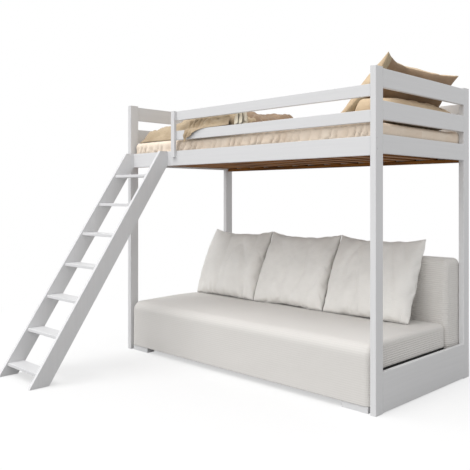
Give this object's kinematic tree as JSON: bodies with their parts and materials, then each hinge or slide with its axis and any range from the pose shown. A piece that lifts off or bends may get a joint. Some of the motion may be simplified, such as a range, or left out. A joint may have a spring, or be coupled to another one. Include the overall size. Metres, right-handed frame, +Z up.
{
  "type": "loft bed with sofa bed",
  "caption": "White loft bunk with guard rails and a slanted ladder over an upholstered sofa whose seat pulls out and whose backrest folds flat into a bed.",
  "frame": {"origin": "on the floor in the middle of the footprint, ladder included", "axes": "+X along the bed to the end without the ladder, +Y from the front (ladder side) to the wall, +Z up"},
  "size_m": [2.08, 1.945, 1.8313],
  "materials": {
    "white_paint": "painted, satin",
    "slat_wood": "oiled",
    "carcass_wood": "raw",
    "zinc_steel": "zinc plated",
    "white_steel": "powder coat, white",
    "black_steel": "powder coat",
    "nylon": "matte",
    "ribbed_fabric": "fine ribbed weave",
    "cushion_fabric": "plain weave",
    "sheet_fabric": "cotton sheet",
    "throw_fabric": "soft knit",
    "pillow_fabric": "soft weave"
  },
  "bodies": {
    "bed_frame": {"base_rail_left": "white_paint", "base_rail_right": "white_paint", "base_rear_beam": "white_paint", "end_board_left": "white_paint", "end_board_right": "white_paint", "end_rail_left_bottom": "white_paint", "end_rail_left_middle": "white_paint", "end_rail_left_top": "white_paint", "end_rail_right_bottom": "white_paint", "end_rail_right_middle": "white_paint", "end_rail_right_top": "white_paint", "guard_post": "white_paint", "guard_post_screws": "white_steel", "guard_rail_front_middle": "white_paint", "guard_rail_front_top": "white_paint", "guard_rail_rear_middle": "white_paint", "guard_rail_rear_top": "white_paint", "ladder_bolts": "white_steel", "ladder_stringer_left": "white_paint", "ladder_stringer_right": "white_paint", "ladder_tread_1": "white_paint", "ladder_tread_2": "white_paint", "ladder_tread_3": "white_paint", "ladder_tread_4": "white_paint", "ladder_tread_5": "white_paint", "ladder_tread_6": "white_paint", "ladder_tread_7": "white_paint", "mattress": "sheet_fabric", "pillow_lower": "pillow_fabric", "pillow_upper": "pillow_fabric", "post_front_left": "white_paint", "post_front_right": "white_paint", "post_rear_left": "white_paint", "post_rear_right": "white_paint", "side_rail_bolts": "white_steel", "side_rail_front": "white_paint", "side_rail_nuts": "zinc_steel", "side_rail_rear": "white_paint", "slat_ledger_front": "slat_wood", "slat_ledger_rear": "slat_wood", "slats_left": "slat_wood", "slats_right": "slat_wood", "throw_blanket": "throw_fabric"},
    "sofa_seat": {"hinge_arm_left": "black_steel", "hinge_arm_right": "black_steel", "seat_glides": "nylon", "seat_platform": "carcass_wood", "seat_rear_member": "carcass_wood", "seat_side_member_left": "carcass_wood", "seat_side_member_right": "carcass_wood", "seat_upholstery": "ribbed_fabric", "sofa_foot_left": "white_paint", "sofa_foot_right": "white_paint"},
    "sofa_back": {"backrest": "ribbed_fabric", "hinge_pin_left": "black_steel", "hinge_pin_right": "black_steel"},
    "back_cushion_left": {"back_cushion_left": "cushion_fabric"},
    "back_cushion_middle": {"back_cushion_middle": "cushion_fabric"},
    "back_cushion_right": {"back_cushion_right": "cushion_fabric"}
  },
  "joints": [
    {"name": "seat_slide", "type": "slide", "parent": "bed_frame", "child": "sofa_seat", "axis": [0, -1, 0], "range_m": [0, 0.385]},
    {"name": "backrest_fold", "type": "hinge", "parent": "sofa_seat", "child": "sofa_back", "pos_m": [0, 0.884, 0.2365], "axis": [-1, 0, 0], "range_deg": [0, 90]},
    {"name": "cushion_lift_left", "type": "slide", "parent": "sofa_seat", "child": "back_cushion_left", "axis": [0, 0, 1], "range_m": [0, 0.4]},
    {"name": "cushion_lift_middle", "type": "slide", "parent": "sofa_seat", "child": "back_cushion_middle", "axis": [0, 0, 1], "range_m": [0, 0.4]},
    {"name": "cushion_lift_right", "type": "slide", "parent": "sofa_seat", "child": "back_cushion_right", "axis": [0, 0, 1], "range_m": [0, 0.4]}
  ]
}
